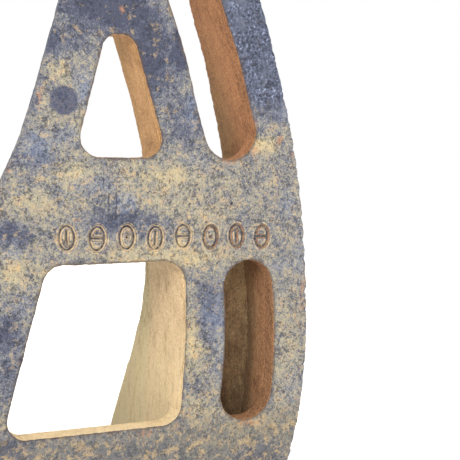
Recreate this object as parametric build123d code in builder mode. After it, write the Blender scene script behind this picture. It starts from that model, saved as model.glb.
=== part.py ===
from build123d import *
import os

# Windowed excavator ripping tooth: a welded shank on a bolted base flange, with a replaceable point.
# Millimetres. +Z runs from the base flange to the tip, the flat windowed face looks along -Y, and the
# origin is the centre of the bolt pattern on the underside of the base flange.

# ---- Driving dimensions ----
FLANGE_LENGTH = 254
FLANGE_WIDTH = 184
FLANGE_T = 20
FLANGE_CORNER_R = 18
BOLT_SPAN_X = 210
BOLT_SPAN_Y = 140
BOLT_HOLE_R = 11
FLANGE_CHAMFER = 1.5

FACE_Y = -46            # front of the face plate
PLATE_T = 10
SIDE = 150              # half width that clears every piece
CORE_T = 18             # gap between the face plate and the rear plate, held open by the outer rim
BACK_T = 14             # rear plate, at the root
BACK_TOP_T = 6          # rear plate, at the nose
RIB_T = 19
SIDE_RIB_T = 15
RIM_INSET = 2           # weld ledge along the trailing edge
EDGE_BEVEL = 6          # bevel behind the leading edge
WELD_GAP = 0.6          # root gap of a welded butt joint

SHANK_TOP = 385
CORE_TOP = 336          # top of the ribs and bottom of the nose block
BOX_TOP = 233           # top of the closed box behind the lower slot
TAPER_FROM = 245        # the rear plate thins from here...
TAPER_TO = 315          # ...to here
MID_RIB_REACH = 90      # deeper than the middle rib is anywhere
HEEL_RIGHT = 96
OUTER_RIB_X = 78
WEB_DEPTH = 80
WEB_TOP = 60
WEB_LEFT_TOP = -55.2    # where the root web's upper left corner meets the side rib

NOSE_X = 32.5
NOSE_DEPTH = 34
NOSE_WIDTH = 53
NOSE_TIP_WIDTH = 30
NOSE_TIP_DEPTH = 16
NOSE_TOP = 450
NOSE_EDGE_R = 4

POINT_BASE = 388
POINT_WAIST = 456
POINT_TIP = 524
POINT_FIT = 0.6         # gap between the nose and the pocket of the point

POST_Z = 412
POST_R = 5
POST_OUT = 22.5         # end of each lock post, from the middle of the nose
LOCK_R = 12.4
LOCK_GAP = 0.1
LOCK_SLOT = 11          # slot that lets the post in
LOCK_IN = 16            # inner and outer ends of each lock, from the middle of the nose
LOCK_MOUTH = 23.5
LOCK_OUT = 28
LIP_OUT = 29.5
LIP_R = 11
SLEEVE_R = 15
BOSS_R = 21
BOSS_OUT = 30
BOSS_CHAMFER = 1.5
SQUARE_DRIVE = 12.7
DRIVE_DEPTH = 3.5

GUARD_BASE = 338
GUARD_TOP = 380
GUARD_FRONT = 14        # guard metal ahead of the leading edge
GUARD_WRAP = 24         # reach of its legs behind the leading edge
GUARD_LEG = 9.7
GUARD_GAP = 0.3
GUARD_NOSE_GAP = 1.5    # gap between the guard and the leading edge
GUARD_CORNER_R = 11
PIN_R = 6
PIN_HEAD_R = 9
PIN_HEAD_T = 4
PIN_TAIL = 8
PIN_GROOVE = 1
CLIP_R = 9.5
CLIP_T = 1.3
CLIP_MOUTH = 8.6
CLIP_GAP = 0.4

GUSSET_T = 10
GUSSET_REACH = 30
GUSSET_HEIGHT = 42
GUSSET_TIP = 6          # blunt ends of each gusset
GUSSET_PLACES = (-76, -38, 38, 76)
EYE_X = -35
EYE_T = 12
EYE_R = 17
EYE_HOLE_R = 11
EYE_HEIGHT = 32         # middle of the eye above the flange
EYE_INSET = 8           # from the rear edge of the flange
EYE_CHAMFER = 1

# ---- Derived places ----
CORE_Y = FACE_Y + PLATE_T
REAR_Y = CORE_Y + CORE_T
BACK_Y = REAR_Y + BACK_T
NOSE_Y = FACE_Y + NOSE_DEPTH / 2
EYE_Z = FLANGE_T + EYE_HEIGHT
LEAN = 0.273            # sideways run of the leading edge for each mm of height, near the nose
EDGE_AT_GUARD = -6.9    # leading edge at the foot of the guard
GUARD_RISE = GUARD_TOP - GUARD_BASE
GUARD_PIN_PLACES = [(8, 348), (14, 370)]
LEG_FRONT = FACE_Y - GUARD_GAP - GUARD_LEG
LEG_BACK = FACE_Y + NOSE_DEPTH + GUARD_GAP + GUARD_LEG
CLIP_Y = LEG_BACK + CLIP_GAP + CLIP_T

# ---- Curves shared by several pieces, as (x, z), from the top down ----
LEADING_EDGE = [
    (6, SHANK_TOP), (-17, 301.5), (-25.5, 270), (-35.2, 238.5), (-50, 205), (-63.5, 160),
    (-96, FLANGE_T),
]
TRAILING_EDGE = [
    (59, SHANK_TOP), (84.2, 312), (99, 266.5), (108, 231), (114.4, 188), (116.9, 150),
    (115.9, 119), (110.4, 88), (101.5, 55), (98, FLANGE_T),
]
SLOT_RIGHT = [(64.7, 302), (71.8, 284.6), (78, 264.4), (83.1, 248.5)]
RIM_INNER = [
    (57.5, CORE_TOP), *SLOT_RIGHT, (86, BOX_TOP), (89.3, 210), (95, 172), (97.1, 139),
    (96.2, 118), (92, 60), (90, FLANGE_T),
]
RIB_LEFT = [
    (7, CORE_TOP), (13, 303), (19.7, 283), (27.4, 260.7), (32.4, 243.5), (40, 207), (46.2, 174),
    (47.4, 150), (46, 118), (45, 60), (44, FLANGE_T),
]
SIDE_RIB_RIGHT = [(-20.5, 200), (-44, 107), (-66, FLANGE_T)]

# ---- Curves of the root, as (depth behind the face, z), from the top down ----
HEEL_TOP = 190
MID_RIB_BACK = [(25, CORE_TOP), (25, 285), (27, 238)]
HEEL_FRONT = [(42.2, HEEL_TOP), (47, 158), (53.5, 125), (62, 92), (84, FLANGE_T)]
HEEL_BACK = [(44.2, HEEL_TOP), (52.9, 164), (67.1, 129), (85.8, 94.6), (131, FLANGE_T)]
SIDE_RIB_BACK = [(31, 200), (46.7, 179), (67.1, 129), (93.5, 81.6), (131, FLANGE_T)]


def shifted(points, dx):
    """The points moved sideways by dx."""
    return [(x + dx, z) for x, z in points]


def deep(points):
    """Points given as (depth behind the face, z), as (y, z)."""
    return [(FACE_Y + depth, z) for depth, z in points]


def facing(y):
    """Plane parallel to the face at y, drawn in (x, z) and extruded towards the front."""
    return Plane.XZ.offset(-y)


def square_to_x(x):
    """Plane square to X at x, drawn in (y, z) and extruded towards +X."""
    return Plane.YZ.offset(x)


def beside_nose(side, out):
    """Plane on one side of the nose, out from its middle, square to the lock axis."""
    return Plane((NOSE_X, NOSE_Y + side * out, POST_Z), x_dir=(-side, 0, 0), z_dir=(0, side, 0))


def shank_outline():
    """Sketch of everything between the leading and trailing edges."""
    with BuildSketch() as outline:
        with BuildLine():
            Spline(*LEADING_EDGE)
            Line(LEADING_EDGE[-1], TRAILING_EDGE[-1])
            Spline(*TRAILING_EDGE)
            Line(TRAILING_EDGE[0], LEADING_EDGE[0])
        make_face()
    return outline.sketch


def between(left, right):
    """Sketch between two curves that both run from the top down."""
    with BuildSketch() as strip:
        with BuildLine():
            Spline(*left)
            Spline(*right)
            Line(left[0], right[0])
            Line(left[-1], right[-1])
        make_face()
    return strip.sketch


def slot(left, bottom, right, top):
    """Sketch of a slot with the given sides, and round ends through bottom and top."""
    with BuildSketch() as outline:
        with BuildLine():
            Spline(*left)
            ThreePointArc(left[-1], bottom, right[-1])
            Spline(*right)
            ThreePointArc(right[0], top, left[0])
        make_face()
    return outline.sketch


def triangular_window():
    """Upper window, between the leading leg and the middle strip."""
    corners = [(-9.4, 233.3), (36, 234.3), (17.8, 289.2), (4.5, 289)]
    with BuildSketch() as window:
        with BuildLine():
            FilletPolyline(*corners, radius=[9.4, 8.7, 7.2, 7], close=True)
        make_face()
    return window.sketch


def slanted_window():
    """Lower window, four-sided, with its inner side slightly bowed."""
    corners = [(-21.1, 184.8), (46.4, 185.7), (47.6, 148), (45.6, 106.3), (-41, 107.4)]
    with BuildSketch() as window:
        with BuildLine():
            FilletPolyline(*corners, radius=[9, 12, 300, 10, 9.3], close=True)
        make_face()
    return window.sketch


def long_slot():
    """Slot that follows the trailing edge towards the nose."""
    left = [(30.8, 316), (36.8, 302), (44.7, 280.2), (51, 258.2), (55.5, 244.5)]
    right = [(59, 318), *SLOT_RIGHT]
    return slot(left, (68.5, 234.2), right, (43, 333))


def short_slot():
    """Slot near the root."""
    left = [(67.6, 172), (69, 146), (67.3, 117)]
    right = [(95, 172), (97.1, 139), (96.2, 118)]
    return slot(left, (81.5, 104.4), right, (80.5, 185))


def guard_pin_holes():
    """Sketch of the holes for the two guard pins."""
    with BuildSketch() as holes:
        with Locations(*GUARD_PIN_PLACES):
            Circle(PIN_R + LOCK_GAP)
    return holes.sketch


def nose_wedge(fit):
    """The wedge of the nose, or with a fit the pocket that slides over it."""
    with BuildPart() as wedge:
        with BuildSketch(Plane((NOSE_X, NOSE_Y, SHANK_TOP))):
            RectangleRounded(NOSE_WIDTH + 2 * fit, NOSE_DEPTH + 2 * fit, NOSE_EDGE_R)
        with BuildSketch(Plane((NOSE_X, NOSE_Y, NOSE_TOP + fit))):
            RectangleRounded(NOSE_TIP_WIDTH + 2 * fit, NOSE_TIP_DEPTH + 2 * fit, NOSE_EDGE_R)
        loft()
    return wedge.part


def lock_bosses():
    """Chamfered round boss through the point, which stands out on both sides."""
    with BuildPart() as bosses:
        with BuildSketch(facing(NOSE_Y)):
            with Locations((NOSE_X, POST_Z)):
                Circle(BOSS_R)
        extrude(amount=BOSS_OUT, both=True)
        chamfer(bosses.edges().filter_by(GeomType.CIRCLE), BOSS_CHAMFER)
    return bosses.part


# ---- Base flange, bolted to the carrier ----
with BuildPart() as base_flange:
    with BuildSketch():
        RectangleRounded(FLANGE_LENGTH, FLANGE_WIDTH, FLANGE_CORNER_R)
        with GridLocations(BOLT_SPAN_X / 2, BOLT_SPAN_Y, 3, 2):
            Circle(BOLT_HOLE_R, mode=Mode.SUBTRACT)
    extrude(amount=FLANGE_T)
    chamfer(base_flange.faces().sort_by(Axis.Z)[-1].outer_wire().edges(), FLANGE_CHAMFER)

# ---- Face plate, with its two windows and two slots ----
with BuildPart() as face_plate:
    with BuildSketch(facing(CORE_Y)):
        add(shank_outline())
    extrude(amount=PLATE_T)
    behind = face_plate.edges().group_by(Axis.Y)[-1]
    chamfer(behind.filter_by(lambda edge: (edge @ 0.5).X < -15), EDGE_BEVEL)
    with BuildSketch(facing(CORE_Y)):
        add(triangular_window())
        add(slanted_window())
        add(long_slot())
        add(short_slot())
        add(guard_pin_holes())
    extrude(amount=PLATE_T, mode=Mode.SUBTRACT)

# ---- Outer rim, a bent bar along the trailing edge between the two plates ----
with BuildPart() as outer_rim:
    with BuildSketch(facing(REAR_Y)):
        add(between(RIM_INNER, shifted([(78, CORE_TOP), *TRAILING_EDGE[1:]], -RIM_INSET)))
    extrude(amount=CORE_T)

# ---- Rear plate: closes the box behind the short slot and runs up to the nose ----
with BuildPart() as rear_plate:
    with BuildSketch(facing(BACK_Y)) as rear_outline:
        add(shank_outline())
        rib_side = shifted([(34.6, BOX_TOP), *RIB_LEFT[5:]], RIB_T + WELD_GAP)
        with BuildLine():
            Spline(*rib_side)
            foot = (rib_side[-1][0], 0)
            Polyline(rib_side[-1], foot, (-SIDE, 0), (-SIDE, CORE_TOP), RIM_INNER[0])
            Spline(*RIM_INNER[:6])
            Line(RIM_INNER[5], rib_side[0])
        make_face(mode=Mode.SUBTRACT)
        add(guard_pin_holes(), mode=Mode.SUBTRACT)
    extrude(amount=BACK_T)
    with BuildSketch(square_to_x(-SIDE)):
        with BuildLine():
            back_top = REAR_Y + BACK_TOP_T
            Polyline(
                (REAR_Y, FLANGE_T), (BACK_Y, FLANGE_T), (BACK_Y, TAPER_FROM), (back_top, TAPER_TO),
                (back_top, SHANK_TOP), (REAR_Y, SHANK_TOP), close=True,
            )
        make_face()
    extrude(amount=2 * SIDE, mode=Mode.INTERSECT)

# ---- Middle rib, a deep bar behind the middle strip ----
with BuildPart() as mid_rib:
    with BuildSketch(facing(FACE_Y + MID_RIB_REACH)):
        add(between(RIB_LEFT, shifted(RIB_LEFT, RIB_T)))
    extrude(amount=MID_RIB_REACH - PLATE_T)
    with BuildSketch(square_to_x(-SIDE)):
        with BuildLine():
            Spline(*deep(HEEL_FRONT))
            Polyline(*deep([HEEL_FRONT[-1], (PLATE_T, FLANGE_T), (PLATE_T, CORE_TOP)]))
            Polyline(*deep([(PLATE_T, CORE_TOP), *MID_RIB_BACK, HEEL_FRONT[0]]))
        make_face()
    extrude(amount=2 * SIDE, mode=Mode.INTERSECT)

# ---- Heel strap, a forged wedge down the back of the middle rib ----
with BuildPart() as heel_strap:
    with BuildSketch(facing(FACE_Y + HEEL_BACK[-1][0])):
        with BuildLine():
            Spline(*RIB_LEFT)
            Polyline(RIB_LEFT[-1], (HEEL_RIGHT, FLANGE_T), (HEEL_RIGHT, CORE_TOP), RIB_LEFT[0])
        make_face()
    extrude(amount=HEEL_BACK[-1][0])
    with BuildSketch(square_to_x(-SIDE)):
        with BuildLine():
            Spline(*deep(HEEL_FRONT))
            Spline(*deep(HEEL_BACK))
            Polyline(*deep([HEEL_FRONT[0], HEEL_BACK[0]]))
            Polyline(*deep([HEEL_FRONT[-1], HEEL_BACK[-1]]))
        make_face()
    extrude(amount=2 * SIDE, mode=Mode.INTERSECT)

# ---- Outer rib, between the rear plate and the heel strap ----
with BuildPart() as outer_rib:
    with BuildSketch(square_to_x(OUTER_RIB_X)):
        with BuildLine():
            Spline(*deep(HEEL_FRONT))
            front = BACK_Y - FACE_Y
            corners = [HEEL_FRONT[-1], (front, FLANGE_T), (front, HEEL_TOP), HEEL_FRONT[0]]
            Polyline(*deep(corners))
        make_face()
    extrude(amount=SIDE_RIB_T)

# ---- Side rib, behind the leading leg of the face plate ----
with BuildPart() as side_rib:
    with BuildSketch(facing(FACE_Y + SIDE_RIB_BACK[-1][0])):
        with BuildLine():
            left_side = shifted(reversed(SIDE_RIB_RIGHT), -SIDE_RIB_T)
            Polyline(*SIDE_RIB_RIGHT, *left_side, close=True)
        make_face()
    extrude(amount=SIDE_RIB_BACK[-1][0] - PLATE_T)
    with BuildSketch(square_to_x(-SIDE)):
        with BuildLine():
            Spline(*deep(SIDE_RIB_BACK))
            top = SIDE_RIB_BACK[0][1]
            Polyline(*deep([SIDE_RIB_BACK[-1], (PLATE_T, FLANGE_T), (PLATE_T, top), SIDE_RIB_BACK[0]]))
        make_face()
    extrude(amount=2 * SIDE, mode=Mode.INTERSECT)

# ---- Root web, a low plate across the back between the side rib and the heel strap ----
with BuildPart() as root_web:
    with BuildSketch(facing(FACE_Y + WEB_DEPTH + PLATE_T)):
        with BuildLine():
            left = SIDE_RIB_RIGHT[-1][0] + WELD_GAP
            right = RIB_LEFT[-1][0] - WELD_GAP
            Polyline(
                (left, FLANGE_T), (right, FLANGE_T), (right, WEB_TOP), (WEB_LEFT_TOP, WEB_TOP),
                close=True,
            )
        make_face()
    extrude(amount=PLATE_T)

# ---- Front gussets, four triangles from the flange to the face plate ----
with BuildPart() as front_gussets:
    for x in GUSSET_PLACES:
        with BuildSketch(square_to_x(x - GUSSET_T / 2)):
            with BuildLine():
                reach = FACE_Y - GUSSET_REACH
                top = FLANGE_T + GUSSET_HEIGHT
                Polyline(
                    (FACE_Y, FLANGE_T), (reach, FLANGE_T), (reach, FLANGE_T + GUSSET_TIP),
                    (FACE_Y - GUSSET_TIP, top), (FACE_Y, top), close=True,
                )
            make_face()
        extrude(amount=GUSSET_T)

# ---- Lifting eye, on the rear edge of the flange ----
with BuildPart() as lifting_eye:
    with BuildSketch(facing(FLANGE_WIDTH / 2 - EYE_INSET)):
        with BuildLine():
            left = EYE_X - EYE_R
            right = EYE_X + EYE_R
            Polyline((left, EYE_Z), (left, FLANGE_T), (right, FLANGE_T), (right, EYE_Z))
            ThreePointArc((right, EYE_Z), (EYE_X, EYE_Z + EYE_R), (left, EYE_Z))
        make_face()
        with Locations((EYE_X, EYE_Z)):
            Circle(EYE_HOLE_R, mode=Mode.SUBTRACT)
    extrude(amount=EYE_T)
    chamfer(lifting_eye.edges().filter_by(GeomType.CIRCLE), EYE_CHAMFER)

# ---- Nose, with its block between the plates and a lock post on each side ----
with BuildPart() as nose:
    with BuildSketch(facing(REAR_Y)):
        with BuildLine():
            Polyline((-5, CORE_TOP), (8, SHANK_TOP), (57, SHANK_TOP), (73.5, CORE_TOP), close=True)
        make_face()
        add(guard_pin_holes(), mode=Mode.SUBTRACT)
    extrude(amount=CORE_T)
    add(nose_wedge(0))
    with BuildSketch(facing(NOSE_Y)):
        with Locations((NOSE_X, POST_Z)):
            Circle(POST_R)
    extrude(amount=POST_OUT, both=True)

# ---- Tooth point, a chisel with a pocket, two lock bosses and their post slots ----
with BuildPart() as tooth_point:
    for width, depth, corner, z in (
        (76, 62, 9, POINT_BASE), (63, 45, 7, POINT_WAIST), (52, 7, 3, POINT_TIP),
    ):
        with BuildSketch(Plane((NOSE_X, NOSE_Y, z))):
            RectangleRounded(width, depth, corner)
    loft(ruled=True)
    add(lock_bosses())
    add(nose_wedge(POINT_FIT), mode=Mode.SUBTRACT)
    with BuildSketch(facing(NOSE_Y)):
        with Locations((NOSE_X, POST_Z)):
            Circle(SLEEVE_R)
    extrude(amount=BOSS_OUT, both=True, mode=Mode.SUBTRACT)
    with BuildSketch(facing(NOSE_Y)):
        with Locations((NOSE_X, (SHANK_TOP + POST_Z) / 2)):
            Rectangle(LOCK_SLOT, POST_Z - SHANK_TOP)
    extrude(amount=LOCK_MOUTH, both=True, mode=Mode.SUBTRACT)


def make_lock(side):
    """Turning lock: a C that opens towards the flange, closed outside by a disc with a square drive."""
    with BuildPart() as lock:
        with BuildSketch(beside_nose(side, LOCK_IN)):
            Circle(LOCK_R)
            Circle(LOCK_SLOT / 2, mode=Mode.SUBTRACT)
            with Locations((0, -LOCK_R / 2)):
                Rectangle(LOCK_SLOT, LOCK_R, mode=Mode.SUBTRACT)
        extrude(amount=LOCK_MOUTH - LOCK_IN)
        with BuildSketch(beside_nose(side, LOCK_MOUTH)):
            Circle(LOCK_R)
        extrude(amount=LOCK_OUT - LOCK_MOUTH)
        with BuildSketch(beside_nose(side, LOCK_OUT)):
            Rectangle(SQUARE_DRIVE, SQUARE_DRIVE)
        extrude(amount=-DRIVE_DEPTH, mode=Mode.SUBTRACT)
    return lock


def make_sleeve(side):
    """Sleeve that holds a lock in the point, with a lip outside and a gap that lets the post in."""
    with BuildPart() as sleeve:
        with BuildSketch(beside_nose(side, LOCK_IN)):
            Circle(SLEEVE_R)
            Circle(LOCK_R + LOCK_GAP, mode=Mode.SUBTRACT)
        extrude(amount=LIP_OUT - LOCK_IN)
        with BuildSketch(beside_nose(side, LOCK_OUT + LOCK_GAP)):
            Circle(SLEEVE_R)
            Circle(LIP_R, mode=Mode.SUBTRACT)
        extrude(amount=LIP_OUT - LOCK_OUT - LOCK_GAP)
        with BuildSketch(beside_nose(side, LOCK_IN)):
            with Locations((0, -SLEEVE_R / 2)):
                Rectangle(LOCK_SLOT, SLEEVE_R)
        extrude(amount=LOCK_MOUTH - LOCK_IN, mode=Mode.SUBTRACT)
    return sleeve


near_lock = make_lock(-1)
far_lock = make_lock(1)
near_lock_sleeve = make_sleeve(-1)
far_lock_sleeve = make_sleeve(1)

# ---- Shank guard, a shoe around the leading edge, held by two headed pins ----
def leaning_block(left, right):
    """Sketch of a block that leans with the leading edge, between two places along X."""
    run = LEAN * GUARD_RISE
    with BuildSketch() as block:
        with BuildLine():
            Polyline(
                (left, GUARD_BASE), (right, GUARD_BASE), (right + run, GUARD_TOP),
                (left + run, GUARD_TOP), close=True,
            )
        make_face()
    return block.sketch


with BuildPart() as shank_guard:
    with BuildSketch(facing(LEG_BACK)):
        add(leaning_block(EDGE_AT_GUARD - GUARD_FRONT, EDGE_AT_GUARD + GUARD_WRAP))
    extrude(amount=LEG_BACK - LEG_FRONT)
    upright = shank_guard.edges().filter_by(lambda edge: GUARD_RISE < edge.length < 1.1 * GUARD_RISE)
    fillet(upright.group_by(Axis.X)[0], GUARD_CORNER_R)
    with BuildSketch(facing(LEG_BACK - GUARD_LEG)):
        add(leaning_block(EDGE_AT_GUARD - GUARD_NOSE_GAP, EDGE_AT_GUARD + 2 * GUARD_WRAP))
    extrude(amount=NOSE_DEPTH + 2 * GUARD_GAP, mode=Mode.SUBTRACT)
    with BuildSketch(facing(LEG_BACK)):
        with Locations(*GUARD_PIN_PLACES):
            Circle(PIN_R + LOCK_GAP)
    extrude(amount=LEG_BACK - LEG_FRONT, mode=Mode.SUBTRACT)

with BuildPart() as guard_pins:
    with BuildSketch(facing(LEG_BACK + PIN_TAIL)):
        with Locations(*GUARD_PIN_PLACES):
            Circle(PIN_R)
    extrude(amount=LEG_BACK + PIN_TAIL - LEG_FRONT)
    with BuildSketch(facing(LEG_FRONT)):
        with Locations(*GUARD_PIN_PLACES):
            Circle(PIN_HEAD_R)
    extrude(amount=PIN_HEAD_T)
    with BuildSketch(facing(CLIP_Y)):
        with Locations(*GUARD_PIN_PLACES):
            Circle(PIN_R)
            Circle(PIN_R - PIN_GROOVE, mode=Mode.SUBTRACT)
    extrude(amount=CLIP_T, mode=Mode.SUBTRACT)

with BuildPart() as guard_pin_clips:
    with BuildSketch(facing(CLIP_Y)):
        with Locations(*GUARD_PIN_PLACES):
            Circle(CLIP_R)
            Circle(PIN_R - PIN_GROOVE, mode=Mode.SUBTRACT)
            with Locations((CLIP_R / 2, 0)):
                Rectangle(CLIP_R, CLIP_MOUTH, mode=Mode.SUBTRACT)
    extrude(amount=CLIP_T)

# ---- Written pieces ----
PIECES = {
    "base_flange": base_flange, "face_plate": face_plate, "outer_rim": outer_rim,
    "rear_plate": rear_plate, "mid_rib": mid_rib, "heel_strap": heel_strap,
    "outer_rib": outer_rib, "side_rib": side_rib, "root_web": root_web,
    "front_gussets": front_gussets, "lifting_eye": lifting_eye, "nose": nose,
    "tooth_point": tooth_point, "near_lock": near_lock, "far_lock": far_lock,
    "near_lock_sleeve": near_lock_sleeve, "far_lock_sleeve": far_lock_sleeve,
    "shank_guard": shank_guard, "guard_pins": guard_pins, "guard_pin_clips": guard_pin_clips,
}

os.makedirs("parts", exist_ok=True)
for name, piece in PIECES.items():
    piece.part.label = name
    export_step(piece.part, f"parts/{name}.step")
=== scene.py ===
"""Looks of the windowed ripping tooth: worn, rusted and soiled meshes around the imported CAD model."""

import math

import bpy
import numpy as np
from mathutils import Matrix, Vector, geometry, noise
from mathutils.bvhtree import BVHTree


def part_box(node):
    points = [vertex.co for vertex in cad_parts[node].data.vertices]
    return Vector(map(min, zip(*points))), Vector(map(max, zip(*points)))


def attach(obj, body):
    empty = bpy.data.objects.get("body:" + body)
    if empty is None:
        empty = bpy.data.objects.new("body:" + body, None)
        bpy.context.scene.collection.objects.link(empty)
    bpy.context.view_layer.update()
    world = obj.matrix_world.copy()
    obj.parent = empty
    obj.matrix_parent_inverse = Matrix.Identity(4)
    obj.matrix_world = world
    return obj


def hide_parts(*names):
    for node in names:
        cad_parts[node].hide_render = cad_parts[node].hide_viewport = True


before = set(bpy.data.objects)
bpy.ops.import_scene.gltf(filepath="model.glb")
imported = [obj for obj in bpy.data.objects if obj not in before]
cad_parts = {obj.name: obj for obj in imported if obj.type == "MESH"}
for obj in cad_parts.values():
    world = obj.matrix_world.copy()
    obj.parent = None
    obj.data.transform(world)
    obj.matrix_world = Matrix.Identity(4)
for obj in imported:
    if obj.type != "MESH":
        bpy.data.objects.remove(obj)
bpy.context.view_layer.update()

MM = 0.001


# -------- places, in mm
def node_box(name):
    """Lowest and highest corner of a CAD node, in mm."""
    low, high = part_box(name)
    return np.array(low) / MM, np.array(high) / MM


FACE_Y, PLATE_BACK = (corner[1] for corner in node_box("face_plate"))
PLATE_T = PLATE_BACK - FACE_Y
REAR_JOINT = node_box("outer_rim")[1][1]
FLANGE_TOP = node_box("base_flange")[1][2]
POINT_FOOT, POINT_TIP = (corner[2] for corner in node_box("tooth_point"))


# -------- mesh helpers
def add_object(name, data):
    """A new object in the scene."""
    thing = bpy.data.objects.new(name, data)
    bpy.context.scene.collection.objects.link(thing)
    return thing


def unit(vectors):
    """Rows of vectors, each at length 1."""
    return vectors / (np.linalg.norm(vectors, axis=1)[:, None] + 1e-12)


def run_length(line):
    """Length along a line of points, from its first point to each one."""
    return np.concatenate([[0], np.cumsum(np.linalg.norm(np.diff(line, axis=0), axis=1))])


def spaced(line, stops):
    """Points along a line of points, at stops measured along it."""
    return np.stack([np.interp(stops, run_length(line), values) for values in line.T], axis=1)


def vertex_places(mesh):
    """Vertices of a mesh, in mm."""
    return np.array([vertex.co for vertex in mesh.vertices]) / MM


def cad_arrays(name):
    """Welded vertices in mm, and triangles, of a CAD node."""
    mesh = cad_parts[name].data
    mesh.calc_loop_triangles()
    unique, index = np.unique(np.round(vertex_places(mesh), 3), axis=0, return_inverse=True)
    triangles = index.reshape(-1)[np.array([triangle.vertices for triangle in mesh.loop_triangles])]
    return unique, triangles[np.all(triangles != np.roll(triangles, 1, axis=1), axis=1)]


def flat_loops(name, axis, level):
    """Closed outlines of a CAD node's flat face at a level along an axis, as arrays of 3-D points."""
    places, triangles = cad_arrays(name)
    flat = np.all(np.abs(places[triangles][:, :, axis] - level) < 0.02, axis=1)
    edges = dict.fromkeys(pair for a, b, c in triangles[flat] for pair in ((a, b), (b, c), (c, a)))
    follow = {start: end for start, end in edges if (end, start) not in edges}
    loops = []
    while follow:
        start, here = follow.popitem()
        chain = [start]
        while here != start and here in follow:
            chain.append(here)
            here = follow.pop(here)
        loops.append(places[chain])
    return [loop for loop in loops if len(loop) > 2]


def resample(loop, step):
    """A closed outline again, with evenly spaced points."""
    closed = np.vstack([loop, loop[:1]])
    length = run_length(closed)[-1]
    count = max(8, int(round(length / step)))
    return spaced(closed, np.linspace(0, length, count, endpoint=False))


def outward(loop):
    """Unit normals of a closed 2-D outline, pointing to the right of its direction."""
    along = unit(np.roll(loop, -1, axis=0) - np.roll(loop, 1, axis=0))
    return np.stack([along[:, 1], -along[:, 0]], axis=1)


def wave(points, size, seed=0):
    """Smooth noise from about -1 to 1 with features of a size in mm, at 3-D points."""
    shift = Vector((seed * 17.3, seed * 5.1, seed * 9.7))
    return np.array([noise.noise(Vector(p) / size + shift) for p in points])


def waves(points, layers):
    """Sum of noises, each as (height in mm, size in mm, seed)."""
    return sum(height * wave(points, size, seed) for height, size, seed in layers)


def new_piece(name, places, faces, material, body="root"):
    """A mesh piece from places in mm, riding on a body."""
    mesh = bpy.data.meshes.new(name)
    mesh.from_pydata((np.asarray(places) * MM).tolist(), [], [list(map(int, face)) for face in faces])
    mesh.validate()
    mesh.update()
    piece = add_object(name, mesh)
    mesh.materials.append(material)
    mesh.shade_smooth()
    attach(piece, body)
    return piece


def inside(points, loops):
    """True for each 2-D point that lies inside the outlines, by crossings."""
    hit = np.zeros(len(points), dtype=bool)
    x, y = points[:, 0], points[:, 1]
    for loop in loops:
        for (x0, y0), (x1, y1) in zip(loop, np.roll(loop, -1, axis=0)):
            if y0 == y1:
                continue
            crosses = (y0 > y) != (y1 > y)
            hit ^= crosses & (x < (x1 - x0) * (y - y0) / (y1 - y0) + x0)
    return hit


def distance_to(points, loops):
    """Distance from each 2-D point to the nearest of every third outline point."""
    marks = np.vstack(loops)[::3]
    blocks = [points[first:first + 2000] for first in range(0, len(points), 2000)]
    return np.concatenate([np.linalg.norm(block[:, None] - marks, axis=2).min(axis=1) for block in blocks])


def remeshed(places, triangles, voxel):
    """Vertices in mm and quads of a voxel remesh, in mm, of a closed mesh."""
    mesh = bpy.data.meshes.new("blank")
    mesh.from_pydata((places * MM).tolist(), [], triangles.tolist())
    blank = add_object("blank", mesh)
    remesh = blank.modifiers.new("remesh", "REMESH")
    remesh.mode = "VOXEL"
    remesh.voxel_size = voxel * MM
    shaped = blank.evaluated_get(bpy.context.evaluated_depsgraph_get())
    mesh = bpy.data.meshes.new_from_object(shaped)
    places, quads = vertex_places(mesh), np.array([face.vertices for face in mesh.polygons])
    bpy.data.meshes.remove(mesh)
    bpy.data.objects.remove(blank)
    return places, quads


def vertex_normals(places, quads):
    """Unit vertex normals of a quad mesh."""
    a, b, c, d = (places[quads[:, k]] for k in range(4))
    normals = np.zeros_like(places)
    np.add.at(normals, quads, np.cross(c - a, d - b)[:, None])
    return unit(normals)


def relaxed(places, quads, rounds):
    """The places after each has moved half way to the middle of its neighbours, a few times."""
    count = 2 * np.bincount(quads.ravel())
    for _ in range(rounds):
        total = np.zeros_like(places)
        for step in (1, -1):
            np.add.at(total, quads, places[np.roll(quads, step, axis=1)])
        places = places * 0.5 + total / count[:, None] * 0.5
    return places


SKIN_SIZES = (9, 3.4, 1.5)  # the broad, middle and fine features of a worn skin
SKIN_SINK = 0.35  # how much of its roughness a skin lies inwards
BOX_SLACK = 0.1  # how far past its CAD box a worn piece may go
KEPT_END = 2.5  # a joined end isn't roughened this far in


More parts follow.
